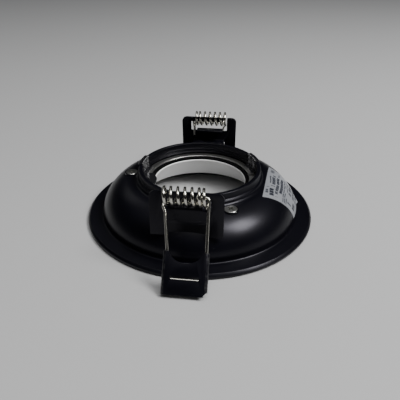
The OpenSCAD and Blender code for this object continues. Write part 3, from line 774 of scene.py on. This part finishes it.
class DOWNLIGHT_OT_rings(bpy.types.Operator):
    """Builds the black seat ring, the split lamp ring and the two clips over the rim"""

    bl_idname = "downlight.rings"
    bl_label = "Build Rings"

    def execute(self, context):
        steps = context.scene.downlight_sizes.lathe_steps
        low, high = SEAT_RING_Z, LAMP_RING_Z
        # A near-black ring fills the dark band between the reflector's lip and the lamp ring
        seat = rounded([(THROAT_R + 0.25, low, 0.1), (RING_OUT_R, low, 0.1), (RING_OUT_R, high, 0.1),
                        (THROAT_R + 0.25, high, 0.2)])
        dress(make("dark_seat_ring", turned(seat, steps)), finish("seat_black"), "root", ["seat_ring"])
        low, high = LAMP_RING_Z, TONGUE_Z
        ring = rounded([(LAMP_RING_R, low, 0.15), (RING_OUT_R, low, 0.1), (RING_OUT_R, high, 0.15),
                        (LAMP_RING_R, high, 0.15)])
        gap_width, gap_r = 1.2, 24
        gap = math.degrees(gap_width / gap_r)
        bright = make("lamp_washer", turned(ring, steps, 360 - gap), spin(RING_GAP_ANGLE + gap / 2))
        dress(bright, finish("ring_steel"), "root", ["lamp_ring"])
        for i, angle in enumerate(CLIP_ANGLES):
            self.rim_clip(i, angle)
        return {"FINISHED"}

    def rim_clip(self, i, angle):
        """A strip hooked over the collar's rim, pressed into ribs, with its foot on the rings."""
        leg, out, top = BORE_R + 0.1, COLLAR_R + 0.05, COLLAR_Z + 0.5
        outline = rounded(
            [(CLIP_FOOT_R, TONGUE_Z, 0.15), (leg + 0.5, TONGUE_Z, 0.2), (leg + 0.5, COLLAR_Z, 0.1),
             (out, COLLAR_Z, 0.1), (out, COLLAR_Z - 2.4, 0.05), (out + 0.5, COLLAR_Z - 2.4, 0.12),
             (out + 0.5, top, 0.4), (leg, top, 0.4), (leg, GROOVE_Z, 0.3), (CLIP_FOOT_R, GROOVE_Z, 0.15)],
            20.0)
        clip = make(f"rim_clip_{i + 1}", turned(outline, 24, CLIP_ARC), spin(angle - CLIP_ARC / 2))
        ribs = []
        for offset in (-6.3, -2.1, 2.1, 6.3):
            rib = round_bar(0.42, GROOVE_Z + 0.3, COLLAR_Z + 0.1, 16, top=0.5)
            place = spin(angle + offset) @ Matrix.Translation((leg + 0.12, 0, 0))
            ribs.append(make("rib", rib, place))
        if i == 1:
            tip, half = 19.8, 5.6
            root, shoulder = 25.1, tip + 1.1
            shape = rounded([(root, -half, 0.3), (shoulder, -half, 0.5), (tip, 0, 0.8),
                             (shoulder, half, 0.5), (root, half, 0.3)])
            turn = spin(angle + CLIP_ARC)
            ribs.append(make("tongue", pushed(shape, TONGUE_Z, GROOVE_Z), turn))
            fold = (Matrix.Translation((23.7, -2.2, GROOVE_Z))
                    @ Matrix.Rotation(math.radians(90), 4, "X"))
            ribs.append(make("fold", round_bar(0.5, -2.6, 2.6, 20), turn @ fold))
        combine(clip, ribs, "UNION")
        soften(clip, 0.05 * MM, 2)
        dress(clip, finish("clip_oxide"), "root", [f"ring_clip_{i + 1}"])


class DOWNLIGHT_OT_screws(bpy.types.Operator):
    """Builds the three countersunk screws and the four rivets"""

    bl_idname = "downlight.screws"
    bl_label = "Build Screws and Rivets"

    def execute(self, context):
        shank, head_r, end_z, slot_half, slot_depth = 1.4, 2.8, 9.3, 0.37, 1.1
        for i, angle in enumerate(SCREW_ANGLES):
            outline = [(0.0, end_z), (1.2, end_z), (shank, 9.7), (shank, DOME_Z - shank),
                       (2.74, DOME_Z - 0.08), (head_r, DOME_Z), (2.7, DOME_Z + 0.1),
                       (1.6, DOME_Z + 0.2), (0.0, DOME_Z + 0.22)]
            screw = make(f"screw_{i + 1}", turned([Vector(p) for p in outline], 48), at_screw(angle))
            turn = at_screw(angle) @ spin(25 + 40 * i)
            slot = box_solid((-shank, -slot_half, DOME_Z - slot_depth), (shank, slot_half, DOME_Z + 1))
            arms = [make("drive", slot, turn @ spin(90 * k)) for k in (0, 1)]
            combine(screw, arms)
            dress(screw, finish("screw_zinc"), "root", [f"reflector_screw_{i + 1}"])
        shank, tail_r, head_r, tail_low, tail_top, seat = 1.2, 1.9, 2.2, 14.3, 15.7, 19.3
        for side in SIDES:
            for k, x in enumerate((-RIVET_X, RIVET_X)):
                head = [(0.0, tail_low), (1.7, tail_low), (tail_r, 14.5), (tail_r, tail_top),
                        (shank, tail_top), (shank, seat), (head_r, seat)]
                head += [(head_r * math.cos(a), 19.35 + 1.15 * math.sin(a))
                         for a in (math.radians(10 * j) for j in range(0, 9))] + [(0.0, 20.5)]
                rivet = make(f"rivet_{side}{k + 1}", turned([Vector(p) for p in head], 40),
                             SIDES[side] @ Matrix.Translation((x, -RIVET_Y, 0)))
                dress(rivet, finish("sheet_paint"), "root", [f"bracket_rivet_{side}{k + 1}"])
        return {"FINISHED"}


class DOWNLIGHT_OT_brackets(bpy.types.Operator):
    """Builds the two folded brackets that carry the coils"""

    bl_idname = "downlight.brackets"
    bl_label = "Build Brackets"

    def execute(self, context):
        for side in SIDES:
            self.bracket(side, context.scene.downlight_sizes.sheet_edge)
        return {"FINISHED"}

    def bracket(self, side, edge):
        lean = math.radians(PLATE_LEAN)
        leg_end_z, half, foot_half, foot_in = 13.4, 14.3, 8.5, 31.5
        legs = -(PLATE_TOP - leg_end_z) / math.cos(lean)
        foot = -(PLATE_TOP - DOME_Z) / math.cos(lean)
        shelf, bend = -5.65, 1.9
        notch, side_x, tongue_x = shelf - bend, 9.5, COIL_X0 + 1.2
        shape = rounded(
            [(-half, legs, 0.3), (-foot_half, legs, 0.3), (-foot_half, foot, 0.4),
             (foot_half, foot, 0.4), (foot_half, legs, 0.3), (half, legs, 0.3), (half, 0, 2.5),
             (tongue_x, 0, 0.3), (tongue_x, -2.3, 0.3), (side_x, -2.3, 0.3), (side_x, notch, 0.5),
             (-side_x, notch, 0.5), (-side_x, 0, 0.4), (-half, 0, 2.5)])
        plate = make(f"bracket_plate_{side}", pushed(shape, -PLATE_T, 0, "Y"), in_plate(side))
        lip = rounded([(0, notch - 0.6, 0)] + [(bend - bend * math.cos(math.radians(a)),
                                                 notch + bend * math.sin(math.radians(a)), 0)
                                                for a in range(0, 91, 10)]
                      + [(bend + 3.0, shelf, 0.2), (bend + 3.0, shelf - PLATE_T, 0.2)]
                      + [(bend - (bend - PLATE_T) * math.cos(math.radians(a)),
                          notch + (bend - PLATE_T) * math.sin(math.radians(a)), 0)
                         for a in range(90, -1, -10)] + [(PLATE_T, notch - 0.6, 0)])
        shelf_piece = make("shelf", pushed(lip, -7.4, 6.1, "X"), in_plate(side))
        out = PLATE_Y + (PLATE_TOP - DOME_Z) * math.tan(lean)
        leg = rounded([(-out, DOME_Z, 1.1), (-foot_in, DOME_Z, 0.15), (-foot_in, DOME_Z + 1, 0.15),
                       (-out + 1.0, DOME_Z + 1, 0.4), (-out + 0.93, DOME_Z + 2, 0),
                       (-out + 0.05, DOME_Z + 2, 0)])
        foot_piece = make("foot", pushed(leg, -8.2, 8.2, "X"), SIDES[side])
        combine(plate, [shelf_piece, foot_piece], "UNION")
        soften(plate, edge, 2, 50.0)
        dress(plate, finish("sheet_paint"), "root", [f"bracket_{side}"])


class DOWNLIGHT_OT_springs(bpy.types.Operator):
    """Builds the two torsion coils"""

    bl_idname = "downlight.springs"
    bl_label = "Build Springs"

    def execute(self, context):
        for side in SIDES:
            self.coil(side, context.scene.downlight_sizes.wire / MM / 2)
        return {"FINISHED"}

    def coil_x(self, turn):
        return (COIL_X0 + (END_PITCH - PITCH / 2) * min(turn, 0.5) / 0.5
                + PITCH * max(0, min(turn, TURNS - 1.5) - 0.5)
                + END_PITCH * max(0, turn - (TURNS - 1.5)))

    def coil(self, side, wire_r):
        """Points are x along the hinge, -y outward and z up."""
        start = bezier_run([bail_top(2 * wire_r)] + [coil_foot(p) for p in LEAD]
                           + [(self.coil_x(0), 0, -COIL_R)], (0.04, 1.0, 0.0))
        rings = 48
        turns = [(self.coil_x(i / rings), -COIL_R * math.cos(math.radians(-90 - 360 * i / rings)),
                  COIL_R * math.sin(math.radians(-90 - 360 * i / rings)))
                 for i in range(TURNS * rings + 1)]
        x = self.coil_x(TURNS)
        lean = math.tan(math.radians(PLATE_LEAN))
        inner = HINGE_Y - PLATE_Y + PLATE_T + wire_r + 0.1
        end = curved_path([(x, 0.5, -COIL_R),
                           (x, inner - (1.0 + COIL_R) * lean, -COIL_R, 1.15),
                           (x, inner - 9.8 * lean, -8.8)])
        wire = drawn(start + turns[1:] + end, wire_r, 16, Vector((1, 0, 0)))
        coil = make(f"coil_spring_{side}", wire, in_hinge(side))
        dress(coil, finish("wire_bright"), None, [f"spring_{side}"])
        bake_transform(coil)


class DOWNLIGHT_OT_clips(bpy.types.Operator):
    """Builds the wire bails and the flaps that are rolled round them"""

    bl_idname = "downlight.clips"
    bl_label = "Build Bails and Flaps"

    def execute(self, context):
        sizes = context.scene.downlight_sizes
        for side in SIDES:
            self.bail(side, sizes.wire / MM / 2)
            self.flap(side, sizes.wire / MM / 2, sizes.sheet_edge)
        return {"FINISHED"}

    def bail(self, side, wire_r):
        entry = ENTRY_GAP - FLAP_START
        path = curved_path(
            [to_flap(bail_top(2 * wire_r)), (ROLL_A_X, entry, 0, 5.0),
             (ROLL_A_X, -BAR_S, 0, 1.8), (ROLL_B_X, -BAR_S, 0, 1.8),
             (ROLL_B_X, entry, 0, 8.0), (ARM_B_X, -7.0, 0, 8.0), (ARM_B_X, 0, 0, 1.2),
             (ARM_B_X - 4.8, 0, 0)])
        bail = make(f"bail_wire_{side}", drawn(path, wire_r, 16, Vector((0, 0, 1))), in_flap(side))
        dress(bail, finish("wire_bright"), f"clip_{side}", [f"wire_bail_{side}"])

    def flap(self, side, wire_r, edge):
        low, high = wire_r + 0.05, wire_r + 0.65
        section = (self.roll(ROLL_A_X, high, 90, 270) + self.roll(ROLL_A_X, low, 270, 90)
                   + self.roll(ROLL_B_X, low, 90, -90) + self.roll(ROLL_B_X, high, -90, 90))
        sheet = pushed(section, FLAP_START, FLAP_END, "Y")
        flap = make(f"flap_sheet_{side}", sheet, in_flap(side))
        mid = (ROLL_A_X + ROLL_B_X) / 2
        scoop_half, scoop_depth = 6.6, 4.2
        scoop_r = (scoop_half ** 2 + scoop_depth ** 2) / (2 * scoop_depth)
        tools = [make("scoop", round_bar(scoop_r, 0.3, 1.6, 96),
                      in_flap(side) @ Matrix.Translation((mid, -FLAP_START - scoop_depth + scoop_r, 0)))]
        low_edge = -BAR_S + wire_r - 0.45
        slot = rounded([(mid - 5.3, low_edge, 0.3), (mid + 5.3, low_edge, 0.3),
                        (mid + 5.3, low_edge + 1.4, 0.3), (mid - 5.3, low_edge + 1.4, 0.3)])
        tools.append(make("window", pushed(slot, 0.3, 1.6), in_flap(side)))
        corner = (Matrix.Translation((mid + 8.6, -FLAP_END, 0)) @ spin(45))
        nip = box_solid((-0.99, -1.4, -2.5), (0.99, 1.4, 2.5))
        tools.append(make("nip", nip, in_flap(side) @ corner))
        combine(flap, tools)
        soften(flap, edge * 0.8, 2, 50.0)
        dress(flap, finish("sheet_paint"), f"clip_{side}", [f"flap_{side}"])

    def roll(self, x, radius, start, end):
        """Points of a rolled edge about a wire, every ten degrees from start to end."""
        step = 10 if end > start else -10
        return [(x + radius * math.cos(math.radians(a)), radius * math.sin(math.radians(a)))
                for a in range(start, end + step, step)]


class DOWNLIGHT_OT_label(bpy.types.Operator):
    """Builds the rating label, a thin film laid on the dome with plain bars in place of print"""

    bl_idname = "downlight.label"
    bl_label = "Build Label"

    def execute(self, context):
        rows, columns = 44, 64
        verts, faces, prints = [], [], []
        for lift in (0.03, 0.18):
            for i in range(rows + 1):
                for j in range(columns + 1):
                    u, v = j / columns, 1 - i / rows
                    verts.append(self.film_point(u, v, lift))
                    prints.append((u, v))
        across, layer_size = columns + 1, (rows + 1) * (columns + 1)
        for i in range(rows):
            for j in range(columns):
                p = i * across + j
                quad = (p, p + 1, p + across + 1, p + across)
                faces.append(tuple(reversed(quad)))
                faces.append(tuple(q + layer_size for q in quad))
        rim = (list(range(across)) + [i * across + columns for i in range(1, rows + 1)]
               + [rows * across + j for j in range(columns - 1, -1, -1)]
               + [i * across for i in range(rows - 1, 0, -1)])
        for k, p in enumerate(rim):
            q = rim[(k + 1) % len(rim)]
            faces.append((p, q, q + layer_size, p + layer_size))
        label = make("rating_label", (verts, faces))
        prints_map = label.data.uv_layers.new(name="print")
        for loop in label.data.loops:
            prints_map.data[loop.index].uv = prints[loop.vertex_index]
        dress(label, finish("label_print"), "root", ["label"], crease=50.0)
        return {"FINISHED"}

    def film_point(self, across, down, lift):
        """A point of the film, 0 to 1 across its upper edge and 0 to 1 down to its foot."""
        side = across - 0.5
        top = Vector((LABEL_IN, LABEL_SHIFT + side * LABEL_W))
        way = Vector((DOME_R + 1, LABEL_SHIFT + side * LABEL_LOW_W)) - top
        crease, rise = math.exp(-((across - 0.72) / 0.07) ** 2), max(0.0, (down - 0.72) / 0.28) ** 1.5
        lift += 0.9 * crease * rise
        radius = max(top.length, CROWN_R)
        high = math.degrees(math.acos(((radius - CROWN_R) / (DOME_R - CROWN_R)) ** (DOME_FULL / 2)))
        r, z = dome_point(high + (9.0 - high) * down, lift)
        if down == 0:
            point = top
        else:
            a, b, c = way.length_squared, top.dot(way), top.length_squared - r * r
            point = top + way * ((math.sqrt(max(0.0, b * b - a * c)) - b) / a)
        turn = Matrix.Rotation(math.radians(LABEL_ANGLE), 2)
        return (*(turn @ point), z)


class DOWNLIGHT_OT_stage(bpy.types.Operator):
    """Sets up the table, the soft light and the camera"""

    bl_idname = "downlight.stage"
    bl_label = "Set Up Stage"

    def execute(self, context):
        scene = context.scene
        floor = make("table", box_solid((-3000, -3000, -20), (3000, 3000, 0)))
        floor.data.materials.append(table_top(scene.downlight_colours.table))
        self.room(scene)
        for name, place, size, power in LAMPS:
            self.lamp(name, place, size, power)
        camera = bpy.data.objects.new("camera", bpy.data.cameras.new("camera"))
        scene.collection.objects.link(camera)
        camera.data.lens, camera.data.sensor_width = CAMERA_LENS, CAMERA_SENSOR
        camera.data.clip_start, camera.data.clip_end = 0.01, 20.0
        camera.location = CAMERA_PLACE
        way = Vector(CAMERA_WAY).normalized()
        camera.rotation_mode = "QUATERNION"
        camera.rotation_quaternion = way.to_track_quat("-Z", "Y")
        scene.camera = camera
        return {"FINISHED"}

    def room(self, scene):
        """A soft white ceiling over a dark room, as a gradient from low to high."""
        world = bpy.data.worlds.new("soft_room")
        world.use_nodes = True
        tree = world.node_tree
        sky = tree.nodes["Background"]
        where = add(tree, "ShaderNodeTexCoord").outputs["Generated"]
        parts = add(tree, "ShaderNodeSeparateXYZ")
        tree.links.new(where, parts.inputs[0])
        height = add(tree, "ShaderNodeMapRange", interpolation_type="SMOOTHSTEP",
                     From_Min=0.45, From_Max=1.0)
        tree.links.new(parts.outputs["Z"], height.inputs["Value"])
        dark, white = (0.03, 0.03, 0.034, 1), (0.97, 0.985, 1.0, 1)
        tree.links.new(blend_colour(tree, height.outputs["Result"], dark, white), sky.inputs["Color"])
        sky.inputs["Strength"].default_value = ROOM_STRENGTH
        scene.world = world

    def lamp(self, name, place, size, power):
        light = bpy.data.lights.new(name, "AREA")
        light.shape, light.size, light.energy = "SQUARE", size, power
        lamp = bpy.data.objects.new(name, light)
        lamp.location = place
        lamp.rotation_mode = "QUATERNION"
        lamp.rotation_quaternion = (-Vector(place)).to_track_quat("-Z", "Y")
        bpy.context.scene.collection.objects.link(lamp)


OPERATORS = (DOWNLIGHT_OT_finishes, DOWNLIGHT_OT_housing, DOWNLIGHT_OT_reflector, DOWNLIGHT_OT_rings,
             DOWNLIGHT_OT_screws, DOWNLIGHT_OT_brackets, DOWNLIGHT_OT_springs, DOWNLIGHT_OT_clips,
             DOWNLIGHT_OT_label, DOWNLIGHT_OT_stage)


class DOWNLIGHT_PT_panel(bpy.types.Panel):
    """Lists the downlight's sizes, colours and building steps"""

    bl_idname = "DOWNLIGHT_PT_panel"
    bl_label = "Soffit Downlight"
    bl_space_type = "VIEW_3D"
    bl_region_type = "UI"
    bl_category = "Downlight"

    def draw(self, context):
        for group in (context.scene.downlight_sizes, context.scene.downlight_colours):
            for name in group.__annotations__:
                self.layout.prop(group, name)
        for operator in OPERATORS:
            self.layout.operator(operator.bl_idname)


CLASSES = (DownlightSizes, DownlightColours, *OPERATORS, DOWNLIGHT_PT_panel)


def register():
    for cls in CLASSES:
        bpy.utils.register_class(cls)
    bpy.types.Scene.downlight_sizes = bpy.props.PointerProperty(type=DownlightSizes)
    bpy.types.Scene.downlight_colours = bpy.props.PointerProperty(type=DownlightColours)


def unregister():
    del bpy.types.Scene.downlight_colours
    del bpy.types.Scene.downlight_sizes
    for cls in reversed(CLASSES):
        bpy.utils.unregister_class(cls)


def main():
    register()
    for operator in OPERATORS:
        getattr(bpy.ops.downlight, operator.bl_idname.split(".")[1])()
    bpy.context.view_layer.update()


if __name__ == "__main__":
    main()
